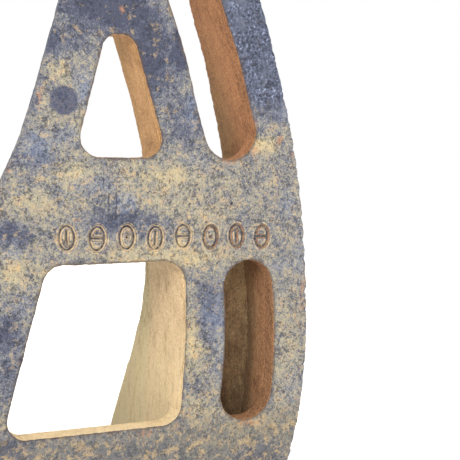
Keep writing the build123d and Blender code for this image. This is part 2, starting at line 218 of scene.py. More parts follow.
def worn(name, material, body="root", voxel=1.2, rough=0.2, fine=0.06, grain=(1, 1, 1),
         reach=(), dents=None, swell=0.0):
    """A remeshed copy of a CAD node with rounded edges and an uneven skin, standing for the node.

    Grain stretches the features along the axes where it is below 1. Each reach is an end that goes
    on inside its neighbour: (axis, where the node ends, where the copy ends).
    """
    places, triangles = cad_arrays(name)
    for axis, level, end in reach:
        places[np.abs(places[:, axis] - level) < 0.05, axis] = end
    places, quads = remeshed(places, triangles, voxel)
    places = relaxed(places, quads, 3)
    normals = vertex_normals(places, quads)
    seed = sum(map(ord, name)) % 50
    at = places * grain
    broad, middle, tiny = (wave(at, size, seed + k) for k, size in enumerate(SKIN_SIZES))
    move = swell + rough * (broad - SKIN_SINK) + 0.5 * rough * middle + fine * tiny
    if dents is not None:
        move -= dents(places, normals)
    low, high = node_box(name)
    for axis, _, end in reach:
        low[axis], high[axis] = min(low[axis], end), max(high[axis], end)
    moved = np.clip(places + normals * move[:, None], low - BOX_SLACK, high + BOX_SLACK)
    for axis, _, end in reach:
        kept = np.abs(places[:, axis] - end) < KEPT_END
        moved[kept, axis] = places[kept, axis]
    piece = new_piece(name + "_worn", moved, quads, material, body)
    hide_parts(name)
    return piece


# -------- face plate
EDGE_STEP, CAP_STEP, MARK_STEP = 0.9, 1.9, 0.42  # between points on outlines, caps and marks
CAP_CLEAR = 0.8  # from a cap's inner points to the outlines
EDGE_WEAR, WALL_SINK, FACE_SINK = 0.55, 0.1, 0.12  # how far the edges, walls and face lie inside
BEVEL, BEVEL_LAND = 6, 4  # the back's bevel on the leading side, and the land before it
# The rows of a wall, each as (depth from the face, share of the edge wear).
WALL_ROWS = [
    (0, 1), (0.15, 0.45), (0.5, 0), (1.6, 0), (2.8, 0), (BEVEL_LAND, 0), (5.5, 0), (7, 0), (8.4, 0),
    (PLATE_T - 0.5, 0), (PLATE_T - 0.15, 0.45), (PLATE_T, 1),
]
# Noises, each as (height, size, seed) in mm: ragged walls, the nibbled trailing edge, the face.
RAGGED = (0.22, 5, 1), (0.16, 1.7, 2)
NIBBLED = [(0.55, 3.1, 3)]
RELIEF = (0.10, 19, 6), (0.07, 7, 7)
NICK_DEPTH, NICK_FROM, PIT_DEPTH, PIT_FROM = 0.45, 0.35, 0.7, 0.45
RIM_FRINGE, HEM_FRINGE = 1.3, 1.6  # reach of the rust on the trailing edge, and of the painted shade along the window edges
# The row of stamped marks: where each one stands, its size, its strokes and the lips beside them.
MARK_FIRST, MARK_PITCH, MARK_Z = -12.3, 14.35, 197
MARK_HALF_W, MARK_HALF_H, MARK_BAR = 3.5, 5.3, 2.915
MARK_STROKE, MARK_DEPTH, MARK_REACH = 0.9375, 1.15, 3
LIP_HEIGHT, LIP_PLACE, LIP_WIDTH = 0.28, 1.6, 0.5
MARK_LEANS = [math.radians(angle) for angle in (3, -2, 1, -3, 2, -1, 3, -2)]
MARK_LIFTS = (0.3, -0.2, 0.1, -0.4)
MARK_MARGIN = (6, 8)


def stamped(points):
    """Groove and lip, 0 to 1, of the row of stamped oval marks at (x, z) points."""
    pressed, raised = np.zeros(len(points)), np.zeros(len(points))
    for i, lean in enumerate(MARK_LEANS):
        local = points - (MARK_FIRST + MARK_PITCH * i, MARK_Z + MARK_LIFTS[i % 4])
        u = local[:, 0] * math.cos(lean) + local[:, 1] * math.sin(lean)
        v = -local[:, 0] * math.sin(lean) + local[:, 1] * math.cos(lean)
        radius = np.hypot(u / MARK_HALF_W, v / MARK_HALF_H)
        ring = np.abs(radius - 1) * np.hypot(u, v) / np.maximum(radius, 1e-3)
        upright = np.maximum(np.abs(u), np.abs(v) - MARK_BAR)
        cross = np.maximum(np.abs(v), np.abs(u) - MARK_HALF_W)
        gap = np.minimum(ring, (upright, cross, np.hypot(u, v))[i % 3])
        near = gap < MARK_REACH
        pressed = np.where(near, np.clip(1 - (gap / MARK_STROKE) ** 2, 0, 1) ** 0.8, pressed)
        raised = np.where(near, np.exp(-((gap - LIP_PLACE) / LIP_WIDTH) ** 2), raised)
    return pressed, raised


def grid_points(low, high, step):
    """Points of a triangular lattice in a rectangle, a little uneven."""
    points = []
    for k, z in enumerate(np.arange(low[1], high[1], step * 0.866)):
        row = np.arange(low[0] + (k % 2) * step / 2, high[0], step)
        points.append(np.stack([row, np.full(len(row), z)], axis=1))
    points = np.vstack(points)
    random = np.random.default_rng(7)
    return points + random.uniform(-0.12, 0.12, points.shape) * step


def plate_outlines():
    """The plate's outlines as evenly spaced (x, z) points, the outer one first."""
    loops = [resample(loop[:, [0, 2]], EDGE_STEP) for loop in flat_loops("face_plate", 1, FACE_Y)]
    areas = [np.sum(x * np.roll(z, -1) - z * np.roll(x, -1)) for x, z in (loop.T for loop in loops)]
    if max(areas, key=abs) < 0:
        loops = [loop[::-1].copy() for loop in loops]
    return sorted(loops, key=lambda loop: -np.ptp(loop[:, 1]))


def wall(loop, normal, outer):
    """Rows of places down a worn wall, from the face to the back."""
    flat = np.column_stack([loop[:, 0], np.zeros(len(loop)), loop[:, 1]])
    ragged = waves(flat, RAGGED)
    if outer:
        trailing = np.clip(normal[:, 0] * 2, 0, 1) * (loop[:, 1] > FLANGE_TOP + 2)
        ragged += trailing * (waves(flat, NIBBLED) - NICK_DEPTH * (wave(flat, 2.2, 4) > NICK_FROM))
    ragged -= ragged.max() if outer else ragged.mean() - 0.15
    leading = np.clip((-normal[:, 0] - 0.3) * 4, 0, 1) if outer else np.zeros(len(loop))
    rows = []
    for depth, share in WALL_ROWS:
        wear = EDGE_WEAR * share if outer or depth <= PLATE_T / 2 else 0
        bevelled = leading * BEVEL * max(0, depth - BEVEL_LAND) / (PLATE_T - BEVEL_LAND)
        drag = 0.10 * wave((flat + [0, depth, 0]) * [1, 0.35, 1], 1.6, 5)
        move = ragged * (1 - 0.5 * depth / PLATE_T) + drag - WALL_SINK - bevelled - wear
        if outer:
            move = np.where(loop[:, 1] < FLANGE_TOP + 0.3, -wear, move)
        ring = loop + normal * move[:, None]
        rows.append(np.insert(ring, 1, FACE_Y + depth, axis=1))
    return rows


def cap(outlines, front):
    """Points and triangles over the area inside the outlines, and the outline points they came from."""
    low, high = outlines[0].min(axis=0), outlines[0].max(axis=0)
    extra = grid_points(low, high, CAP_STEP)
    if front:
        mark_low = np.subtract((MARK_FIRST, MARK_Z), MARK_MARGIN)
        mark_high = np.add((MARK_FIRST + MARK_PITCH * (len(MARK_LEANS) - 1), MARK_Z), MARK_MARGIN)
        outside = np.any((extra < mark_low) | (extra > mark_high), axis=1)
        extra = np.vstack([extra[outside], grid_points(mark_low, mark_high, MARK_STEP)])
    extra = extra[inside(extra, outlines)]
    extra = extra[distance_to(extra, outlines) > CAP_CLEAR]
    edges, start = [], 0
    for count in map(len, outlines):
        edges += [(start + k, start + (k + 1) % count) for k in range(count)]
        start += count
    places = [Vector(p) for p in np.vstack([*outlines, extra])]
    points, _, triangles, sources = geometry.delaunay_2d_cdt(places, edges, [], 1, 1e-6, True)[:4]
    points = np.array([tuple(point) for point in points])
    kept = inside(points[np.array(triangles)].mean(axis=1), outlines)
    return points, [triangle for triangle, keep in zip(triangles, kept) if keep], sources


def face_plate_mesh():
    """The windowed plate with worn edges, a bevelled back on its leading side, and pressed marks."""
    loops = plate_outlines()
    normals = [outward(loop) for loop in loops]
    places, faces, rings = np.empty((0, 3)), [], []
    for loop, normal in zip(loops, normals):
        rows = wall(loop, normal, not rings)
        count = len(loop)
        rings.append([len(places) + row * count + np.arange(count) for row in range(len(rows))])
        places = np.vstack([places, *rows])
        for upper, lower in zip(rings[-1], rings[-1][1:]):
            faces += zip(upper, lower, np.roll(lower, -1), np.roll(upper, -1))
    for row, y in ((0, FACE_Y), (-1, PLATE_BACK)):
        front = row == 0
        joined = np.concatenate([ring[row] for ring in rings])
        points, triangles, sources = cap([places[ring[row]][:, [0, 2]] for ring in rings], front)
        where, added = [], []
        for point, source in zip(points, sources):
            on_ring = [joined[k] for k in source if k < len(joined)]
            where.append(on_ring[0] if on_ring else len(places) + len(added))
            if not on_ring:
                added.append((point[0], y, point[1]))
        places = np.vstack([places, added])
        for triangle in triangles:
            corners = [where[k] for k in triangle]
            a, b, c = places[corners][:, [0, 2]]
            faces.append(corners if (np.cross(b - a, c - a) > 0) == front else corners[::-1])
    front = np.abs(places[:, 1] - FACE_Y) < 1e-6
    flat = places[front]
    pits = np.clip(wave(flat, 3.6, 8) - PIT_FROM, 0, 1) * PIT_DEPTH
    pressed, raised = stamped(flat[:, [0, 2]])
    places[front, 1] += MARK_DEPTH * pressed - LIP_HEIGHT * raised + FACE_SINK + waves(flat, RELIEF) + pits
    groove, lip, on_edge = np.zeros((3, len(places)))
    groove[front], lip[front] = pressed, raised
    on_edge[np.concatenate(rings[0])] = 1
    trailing = loops[0][(normals[0][:, 0] > 0.3) & (loops[0][:, 1] > FLANGE_TOP + 5)]
    rim = distance_to(places[:, [0, 2]], [trailing])
    hem = distance_to(places[:, [0, 2]], [resample(loop, 0.3) for loop in loops[1:]])
    return places, faces, {"rim": np.exp(-rim / RIM_FRINGE), "hem": np.exp(-hem / HEM_FRINGE),
                          "outer": on_edge, "groove": groove, "lip": lip}


# -------- camera, floor and light
VIEW_AZIMUTH, VIEW_ELEVATION, VIEW_ROLL = -28.17, 4.33, 1.55
VIEW_DISTANCE = 449
VIEW_TARGET = Vector((70, FACE_Y, 200))
LENS, SENSOR = 72, 36
STUDIO_TARGET = (0.03, -0.03, 0.22)
LAMPS = [  # name, place in metres, size in metres, watts
    ("key", (-0.9, -1.1, 1.0), 0.9, 22), ("fill", (1.2, -0.9, 0.6), 1.2, 9),
    ("rear", (0.2, 1.4, 1.1), 1.2, 14),
]
SURROUNDINGS = 0.62  # strength of the light from all around
FLOOR_RADIUS = 6
FLOOR_WHITE, FLOOR_PALE = (1, 1, 1), (0.80, 0.80, 0.80)
FLOOR_GLOW_PAINTED_SHADOW = (0.22, 0.56)  # glow near the object, lower there as a painted shadow, and away from it
FLOOR_PAINTED_SHADOW_REACH = (100.0, 420.0)  # mm; where the painted shadow on the floor fades out


def make_camera():
    """Camera close to the face, to its left and a little above the middle."""
    a, e = math.radians(VIEW_AZIMUTH), math.radians(VIEW_ELEVATION)
    back = Vector((math.sin(a) * math.cos(e), -math.cos(a) * math.cos(e), math.sin(e)))
    right = Vector((0, 0, 1)).cross(back).normalized()
    right = Matrix.Rotation(math.radians(VIEW_ROLL), 3, back) @ right
    up = back.cross(right)
    place = Matrix((right, up, back)).transposed().to_4x4()
    place.translation = (VIEW_TARGET + back * VIEW_DISTANCE) * MM
    data = bpy.data.cameras.new("camera")
    data.lens = LENS
    data.sensor_width = SENSOR
    data.clip_start = 0.01
    camera = add_object("camera", data)
    camera.matrix_world = place
    bpy.context.scene.camera = camera


def area_light(name, place, target, size, power):
    """Soft square lamp at a place in metres, aimed at a target."""
    data = bpy.data.lights.new(name, "AREA")
    data.size = size
    data.energy = power
    lamp = add_object(name, data)
    lamp.location = place
    lamp.rotation_euler = (Vector(target) - Vector(place)).to_track_quat("-Z", "Y").to_euler()


def make_studio():
    """Pale glowing floor with a painted shadow near the object, white surroundings and three soft lamps.
    """
    scene = bpy.context.scene
    scene.view_settings.view_transform = "Standard"
    world = bpy.data.worlds.new("studio")
    scene.world = world
    world.use_nodes = True
    nodes, links = world.node_tree.nodes, world.node_tree.links
    nodes.clear()
    seen, lit = nodes.new("ShaderNodeBackground"), nodes.new("ShaderNodeBackground")
    seen.inputs["Color"].default_value = (1, 1, 1, 1)
    lit.inputs["Color"].default_value = (1, 1, 1, 1)
    lit.inputs["Strength"].default_value = SURROUNDINGS
    path, mix = nodes.new("ShaderNodeLightPath"), nodes.new("ShaderNodeMixShader")
    links.new(path.outputs["Is Camera Ray"], mix.inputs[0])
    links.new(lit.outputs[0], mix.inputs[1])
    links.new(seen.outputs[0], mix.inputs[2])
    links.new(mix.outputs[0], nodes.new("ShaderNodeOutputWorld").inputs[0])
    bpy.ops.mesh.primitive_circle_add(vertices=96, radius=FLOOR_RADIUS, fill_type="NGON")
    floor = bpy.context.object
    floor.name = "floor"
    pale = Look("floor_glow_painted_shadow")
    # The floor glows less near the object: a painted shadow under it.
    away = pale.rise(pale.vector("LENGTH", pale.at), *FLOOR_PAINTED_SHADOW_REACH)
    pale.put(pale.shader.inputs["Emission Color"], FLOOR_WHITE)
    pale.put(pale.shader.inputs["Emission Strength"], pale.between(away, *FLOOR_GLOW_PAINTED_SHADOW))
    floor.data.materials.append(pale.finish(FLOOR_PALE, MATT))
    for name, place, size, power in LAMPS:
        area_light(name, place, STUDIO_TARGET, size, power)


# -------- material helpers
def tint(red, green, blue):
    """Linear colour from display values of 0 to 255."""
    return tuple(((v / 255 + 0.055) / 1.055) ** 2.4 for v in (red, green, blue))


# From bare paint, over thin dust, to thick dry soil.
DUST_RAMP = [
    (0.00, tint(62, 66, 84)), (0.22, tint(88, 91, 106)), (0.40, tint(116, 116, 121)),
    (0.54, tint(145, 139, 124)), (0.74, tint(170, 158, 130)), (1.00, tint(198, 177, 134)),
]
PALE_BLUE = tint(124, 136, 160)
NIGHT = tint(38, 42, 58)
WARM_SOIL = tint(204, 160, 104)
PALE_GRIT = tint(212, 194, 158)
ISLAND_TAN = tint(194, 166, 122)
TAN = tint(190, 168, 128)
DULL_TAN = tint(172, 150, 116)
GRIME = tint(98, 96, 92)
RUST = tint(168, 108, 66)
DARK_RUST = tint(104, 66, 46)
# Window walls and bars, each as (shade, light).
DRY_WALL = tint(166, 132, 88), tint(250, 222, 178)
DRY_WALL_BEHIND = tint(156, 136, 90), tint(232, 216, 172)
# Lighter colour low in the window walls: painted light where the lamps fall off.
LOW_WALL_PAINTED_LIGHT = tint(244, 220, 170)
GOLD_WALL = tint(132, 94, 54), tint(214, 168, 114)
ORANGE_WALL = tint(112, 70, 42), tint(208, 148, 98)
# The long slot's wall deeper in and lower down: more olive, and darker as painted shade.
DEEP_OLIVE_WALL_AND_SHADE = tint(92, 64, 36), tint(176, 134, 84)
BROWN_WALL = tint(82, 54, 36), tint(206, 152, 106)
OLIVE_WALL = tint(76, 60, 40), tint(212, 180, 130)
# Painted shade in the inner corner of the slots, where the trailing bar meets the rear plate.
PAINTED_CORNER_SHADE = tint(50, 36, 26)
WALL_SPECK = tint(92, 64, 42)
FOXING = tint(198, 134, 76)
# Marks on the face.
SCRATCH = tint(52, 56, 72)
# Pebbled enamel, darker in the pebbles' hollows as painted shade, with painted highlights as glints on
# their tops.
ENAMEL_AND_PAINTED_SHADE = tint(42, 46, 62), tint(96, 103, 126)
PAINTED_ENAMEL_GLINT = tint(164, 174, 200)
SMOOTH_ENAMEL = tint(88, 94, 112)
SPOT_BLUE = tint(62, 68, 92)
RUST_SPOT = tint(192, 136, 88)
# Stamped marks: painted shade in the grooves, and a painted highlight on the raised lips.
GROOVE_PAINTED_SHADE = tint(50, 49, 58)
LIP_PAINTED_HIGHLIGHT = tint(222, 192, 148)
RIM_RUST = tint(136, 92, 72)
# Painted shade along the window edges.
HEM_PAINTED_SHADE = tint(76, 60, 54)
BARE_EDGE = tint(138, 104, 80)
# Weld beads, castings, steel and polymer.
WELD_RUST = tint(92, 66, 52), tint(128, 96, 76)
WELD_SCALE = tint(98, 98, 104)
WELD_DUST = tint(168, 150, 120)
CASTING = tint(70, 66, 66), tint(104, 92, 82)
CASTING_RUST = tint(92, 62, 46), tint(134, 92, 64)
POLISHED = tint(70, 67, 66), tint(128, 125, 121)
POLYMER = tint(96, 34, 28), tint(138, 52, 42)


class Look:
    """A material under construction, with short names for the nodes that it uses most."""

    def __init__(self, name):
        self.material = bpy.data.materials.new(name)
        self.material.use_nodes = True
        self.nodes = self.material.node_tree.nodes
        self.links = self.material.node_tree.links
        self.shader = self.nodes["Principled BSDF"]
        where = self.node("TexCoord", {})
        self.normal = where["Normal"]
        self.at = self.vector("SCALE", where["Object"], scale=1 / MM)
        self.x, self.y, self.z = self.parts(self.at)

    def put(self, socket, value):
        """Link a value that is a socket, or set a plain one."""
        if isinstance(value, bpy.types.NodeSocket):
            self.links.new(value, socket)
        elif isinstance(value, tuple) and len(value) == 3 and socket.type == "RGBA":
            socket.default_value = (*value, 1)
        else:
            socket.default_value = value

    def node(self, kind, values, **settings):
        """Outputs of a new node with these settings, and with values by the input's name or number."""
        node = self.nodes.new("ShaderNode" + kind)
        for name, setting in settings.items():
            setattr(node, name, setting)
        for name, value in values.items():
            self.put(node.inputs[name], value)
        return node.outputs

    def math(self, operation, a, b=0.0, clamp=False):
        """Result of a Math node."""
        return self.node("Math", {0: a, 1: b}, operation=operation, use_clamp=clamp)[0]

    def times(self, first, *others):
        """Product of numbers."""
        for other in others:
            first = self.math("MULTIPLY", first, other)
        return first

    def plus(self, first, *others):
        """Sum of numbers."""
        for other in others:
            first = self.math("ADD", first, other)
        return first

    def minus(self, a, b):
        """Difference of two numbers."""
        return self.math("SUBTRACT", a, b)

    def between(self, amount, low, high):
        """Number from low at 0 to high at 1."""
        return self.plus(self.times(amount, high - low), low)

    def vector(self, operation, a, b=(0, 0, 0), scale=1.0):
        """Result of a Vector Math node: a number for LENGTH, else a vector."""
        values = {0: a, "Scale": scale} if operation == "SCALE" else {0: a, 1: b}
        result = self.node("VectorMath", values, operation=operation)
        return result["Value" if operation == "LENGTH" else "Vector"]

    def parts(self, vector):
        """X, Y and Z of a vector."""
        return self.node("SeparateXYZ", {0: vector})

    def noise(self, size, detail=3.0, rough=0.6, at=None, stretch=None, color=False):
        """Noise with features of a size in mm, about 0.5 on average."""
        place = self.at if at is None else at
        if stretch:
            place = self.vector("MULTIPLY", place, stretch)
        values = {"Vector": place, "Scale": 1 / size, "Detail": detail, "Roughness": rough}
        return self.node("TexNoise", values)["Color" if color else "Fac"]

    def rise(self, value, low, high):
        """0 below low, 1 above high, and smooth between; low may be the larger."""
        values = {"Value": value, "From Min": low, "From Max": high}
        return self.node("MapRange", values, interpolation_type="SMOOTHSTEP")["Result"]

    def mix(self, amount, a, b):
        """Colour between a and b."""
        return self.node("Mix", {0: amount, 6: a, 7: b}, data_type="RGBA")[2]

    def blots(self, size, detail, rough, low, high, at=None):
        """Blots of noise: 0 where it is below low, 1 above high."""
        return self.rise(self.noise(size, detail, rough, at), low, high)

    def waver(self, size, detail, rough, gain, start=0.0, at=None):
        """Noise around its middle, times a gain, added to a start value."""
        return self.spread(self.noise(size, detail, rough, at), gain, start)

    def coats(self, color, *tops):
        """A colour with others over it, each as (amount, strength, colour)."""
        for amount, strength, top in tops:
            color = self.mix(self.times(amount, strength), color, top)
        return color

    def frayed(self, amount, size, gain, low, high, detail=4):
        """An amount with its edges broken up by noise of a size: 0 below low, 1 above high."""
        return self.rise(self.plus(amount, self.waver(size, detail, 0.7, gain)), low, high)

    def ramp(self, value, stops):
        """Colour from a list of (position, colour) stops."""
        node = self.nodes.new("ShaderNodeValToRGB")
        band = node.color_ramp.elements
        while len(band) < len(stops):
            band.new(1.0)
        for element, (position, color) in zip(band, stops):
            element.position = position
            element.color = (*color, 1)
        self.put(node.inputs[0], value)
        return node.outputs[0]

    def spread(self, source, gain, start=0.0):
        """A number around its middle of 0.5, times a gain, added to a start value."""
        return self.plus(self.times(self.minus(source, 0.5), gain), start)

    def attribute(self, name):
        """A number stored on the piece's vertices."""
        return self.node("Attribute", {}, attribute_name=name)["Fac"]

    def warped(self, size, reach):
        """The place moved by noise of a size, up to about a reach in mm."""
        shift = self.vector("SUBTRACT", self.noise(size, 2, 0.5, color=True), (0.5, 0.5, 0.5))
        return self.vector("ADD", self.at, self.vector("SCALE", shift, scale=3 * reach))

    def patch(self, at, x, z, half_width, half_height):
        """Soft round patch on the face: 1 in its middle, 0 at its edge and beyond."""
        away = self.vector("SUBTRACT", at, (x, 0, z))
        away = self.vector("MULTIPLY", away, (1 / half_width, 0, 1 / half_height))
        return self.rise(self.vector("LENGTH", away), 1.0, 0.0)

    def patches(self, at, places, start):
        """Sum of a start value and weighted patches (x, z, half width, half height, weight)."""
        total = start
        for x, z, half_width, half_height, weight in places:
            total = self.plus(total, self.times(self.patch(at, x, z, half_width, half_height), weight))
        return total

    def edges(self, low, high):
        """1 on convex edges and 0 elsewhere, from the shape itself."""
        return self.rise(self.node("NewGeometry", {})["Pointiness"], low, high)

    def finish(self, color, rough, height=None, depth=0.3, metal=0.0):
        """Colour, roughness and bump, with height 0..1 over a depth in mm, to the shader."""
        self.put(self.shader.inputs["Base Color"], color)
        self.put(self.shader.inputs["Roughness"], rough)
        self.put(self.shader.inputs["Metallic"], metal)
        if height is not None:
            bump = self.node("Bump", {"Strength": 1.0, "Distance": depth * MM, "Height": height})
            self.put(self.shader.inputs["Normal"], bump[0])
        return self.material


# -------- places of the soil and rust
# Patches on the face as (x, z, half width, half height, weight), from the top down.
# Soil above 0, bare paint below 0:
SOIL_PATCHES = [
    (0, 352, 34, 30, -0.45), (44, 372, 34, 26, -0.35), (38, 304, 4, 9, 0.25),
    (0, 300, 28, 18, -0.7), (14, 300, 20, 12, -0.4), (90, 292, 34, 50, -1.1),
    (-8, 287, 8, 6, 0.25), (-9, 286, 9, 8, -0.45), (42, 284, 7, 16, -0.95),
    (-20, 283, 9, 11, -0.55), (26, 282, 20, 34, -0.72), (-16, 271, 8, 7, 0.3),
    (40, 270, 8, 12, -0.05), (-28, 264, 8, 22, -0.25), (-23, 256, 8, 18, 0.1),
    (44, 252, 16, 20, -0.32), (-4, 250, 10, 12, 0.2), (87, 242, 13, 8, 0.6),
    (-28, 232, 16, 14, -0.3), (-10, 226, 26, 8, 0.28), (35, 226, 24, 8, 0.25),
    (4, 222, 12, 16, -0.25), (30, 215, 84, 32, 0.14), (-30, 212, 18, 12, 0.18),
    (60, 206, 18, 8, 0.15), (12, 205, 30, 11, -0.44), (72, 204, 14, 8, -0.12),
    (30, 203, 34, 8, -0.14), (8, 203, 14, 9, -0.1), (-38, 199, 14, 7, -0.7),
    (40, 187, 60, 10, 0.38), (-37, 183, 12, 12, 0.35), (-20, 181, 20, 8, 0.2),
    (60, 162, 12, 22, -0.35), (-38, 157, 10, 9, -0.35), (-39, 150, 10, 36, -0.07),
    (51, 145, 9, 22, 0.45), (-38, 142, 12, 30, -0.25), (105, 140, 18, 44, 0.15),
    (56, 112, 18, 12, 0.25), (-38, 102, 18, 14, -0.5), (88, 100, 44, 14, 0.22),
    (5, 92, 60, 12, -0.15), (-40, 82, 24, 14, 0.3), (92, 82, 24, 18, -0.35),
    (20, 72, 50, 13, -0.45),
]
PALE_PATCHES = [
    (-6, 262, 9, 16, 0.8), (100, 258, 10, 10, 0.5), (48, 258, 5, 16, 0.8), (-12, 243, 12, 8, 0.5),
    (-26, 238, 13, 12, 0.6), (52, 232, 14, 8, 0.4), (-2, 222, 30, 8, 0.4), (16, 213, 9, 7, 1),
    (103, 213, 8, 10, 0.6), (-36, 190, 8, 8, 0.4), (111, 188, 8, 24, 0.4), (100, 182, 14, 6, 0.4),
    (-32, 170, 8, 12, 0.4), (60, 160, 8, 14, 0.5), (66, 150, 6, 40, 0.5), (110, 120, 10, 24, 0.3),
]
RUST_PATCHES = [
    (12, 301, 3, 4, 0.9), (-25, 258, 3, 8, 0.8), (82, 250, 5, 7, 1.1), (97, 245, 3.5, 5, 1.2),
    (83, 238, 5, 8, 0.9), (105, 238, 5, 6, 0.7), (70, 234, 12, 3.5, 1.1), (-38, 228, 4, 8, 0.6),
    (113, 205, 4, 14, 0.7), (-8, 205, 4, 3, 0.7), (90, 186, 6, 4, 0.5), (114, 170, 4, 30, 0.6),
    (50, 112, 8, 6, 0.55), (45, 105, 6, 6, 0.5), (28, 104, 9, 3, 0.8), (84, 103, 16, 5, 0.8),
]
SCRATCHES = [
    (4.5, 224, 0.7, 9, 1), (7.2, 217, 0.8, 17, 1), (10.8, 213, 0.8, 14, 1),
    (70.4, 213, 1.8, 1.6, 1.4), (14, 205, 0.8, 9, 1),
]
HAMMERED = 88, 300, 36, 50  # x, z, half width and half height of a glossy strip
SPOT_X, SPOT_Z, SPOT_RADIUS, SPOT_EDGE = -14.5, 258.2, 6.4, 0.9
# Where a look changes into the next one, each as (start, end) in mm.
GRIME_Z, FOOT_Z = (116, 98), (66, 92)  # grime below the lower window, and where it thins out
# The first pair: heights where the painted light low in the window walls comes in.
LOW_WALL_LIGHT_Z, UPPER_Z = (172, 112), (205, 230)
BEHIND_Y = -8, 2  # from the plate's walls to the bar behind them
# The last pair: heights where the long slot's wall turns more olive and darker, as painted shade, deeper
# in.
SLOT_X, SLOT_Y, DEEP_SLOT_SHADE_Z = (52, 62), (-34, -10), (325, 250)
# Where the painted shade in the slots' inner corner lies: its depth, its reach and its heights.
CORNER_Y, CORNER_REACH, CORNER_Z = -20, 10, (186, 140)
PAINTED_FOOT_Z = 62, 38
MATT, SATIN, GLOSSY = 0.90, 0.55, 0.30  # roughness


# -------- materials
def dusty_paint(look, soil, pale):
    """Colour of slate-blue paint under dust, and its height, for a soil level of about 0 to 1."""
    crumb = look.noise(2.6, 5, 0.68)
    clump = look.noise(7.5, 3, 0.6)
    flecks = look.noise(1.5, 5, 0.78)
    level = look.plus(look.spread(soil, 0.78, 0.44), look.spread(crumb, 0.90),
                      look.spread(clump, 0.35), look.waver(0.9, 3, 0.62, 1.15))
    warm = look.times(look.blots(4.5, 5, 0.75, 0.50, 0.64), look.rise(level, 0.35, 0.75))
    blue = look.times(look.blots(4.5, 4, 0.7, 0.54, 0.70), 0.12)
    blue = look.math("ADD", blue, look.spread(crumb, 0.8, pale), clamp=True)
    dark = look.rise(look.plus(flecks, look.spread(clump, 0.25)), 0.455, 0.385)
    color = look.coats(
        look.ramp(level, DUST_RAMP),
        (warm, 0.50, WARM_SOIL),
        (look.times(blue, look.rise(level, 0.95, 0.40)), 0.65, PALE_BLUE),
        (look.blots(6.5, 6, 0.80, 0.555, 0.605), 0.42, ISLAND_TAN),
        (dark, 0.64, NIGHT),
        (look.times(look.rise(flecks, 0.58, 0.66), look.rise(level, 0.10, 0.60)), 0.50, PALE_GRIT))
    return color, look.plus(level, look.minus(flecks, dark))


def wall_colour(look):
    """Colour and height of the dry, streaked soil and rust on the window walls and the bars, with painted
    light low in the windows and painted shade deep in the slots and in their inner corner.
    """
    grain = look.noise(0.62, 4, 0.72, stretch=(1, 1, 0.34))
    broad = look.noise(4.5, 4, 0.65, stretch=(1, 1, 0.42))
    shade = look.plus(look.spread(grain, 1.7, 0.5), look.waver(0.85, 3, 0.65, 1.1))
    shade = look.math("ADD", shade, look.spread(broad, 0.8), clamp=True)
    upper = look.rise(look.z, *UPPER_Z)
    # The windows and the middle bar.
    dry = look.mix(look.rise(look.y, *BEHIND_Y), look.mix(shade, *DRY_WALL),
                   look.mix(shade, *DRY_WALL_BEHIND))
    # Lighter low in the windows: painted light.
    dry = look.coats(dry, (look.rise(look.z, *LOW_WALL_LIGHT_Z), 0.50, LOW_WALL_PAINTED_LIGHT))
    windows = look.mix(upper, dry, look.mix(shade, *GOLD_WALL))
    # The slots, the trailing bar and the rear plate.
    depth = look.rise(look.plus(look.y, look.spread(broad, 24)), *SLOT_Y)
    # Painted shade in the inner corner of the slots.
    corner = look.math("ABSOLUTE", look.plus(look.y, -CORNER_Y, look.spread(broad, 14)))
    corner = look.times(look.rise(corner, CORNER_REACH, 0), look.rise(look.z, *CORNER_Z))
    lower = look.mix(depth, look.mix(shade, *BROWN_WALL), look.mix(shade, *OLIVE_WALL))
    lower = look.coats(lower, (corner, 0.50, PAINTED_CORNER_SHADE))
    # Deeper in the long slot and lower down: more olive, and darker as painted shade.
    aged = look.mix(look.times(depth, look.rise(look.z, *DEEP_SLOT_SHADE_Z)),
                    look.mix(shade, *ORANGE_WALL), look.mix(shade, *DEEP_OLIVE_WALL_AND_SHADE))
    color = look.coats(
        look.mix(look.rise(look.x, *SLOT_X), windows, look.mix(upper, lower, aged)),
        (look.rise(broad, 0.44, 0.30), 0.22, DARK_RUST),
        (look.blots(2.4, 5, 0.75, 0.54, 0.66), 0.22, FOXING),
        (look.blots(1.1, 3, 0.7, 0.40, 0.28), 0.50, WALL_SPECK))
    return color, shade


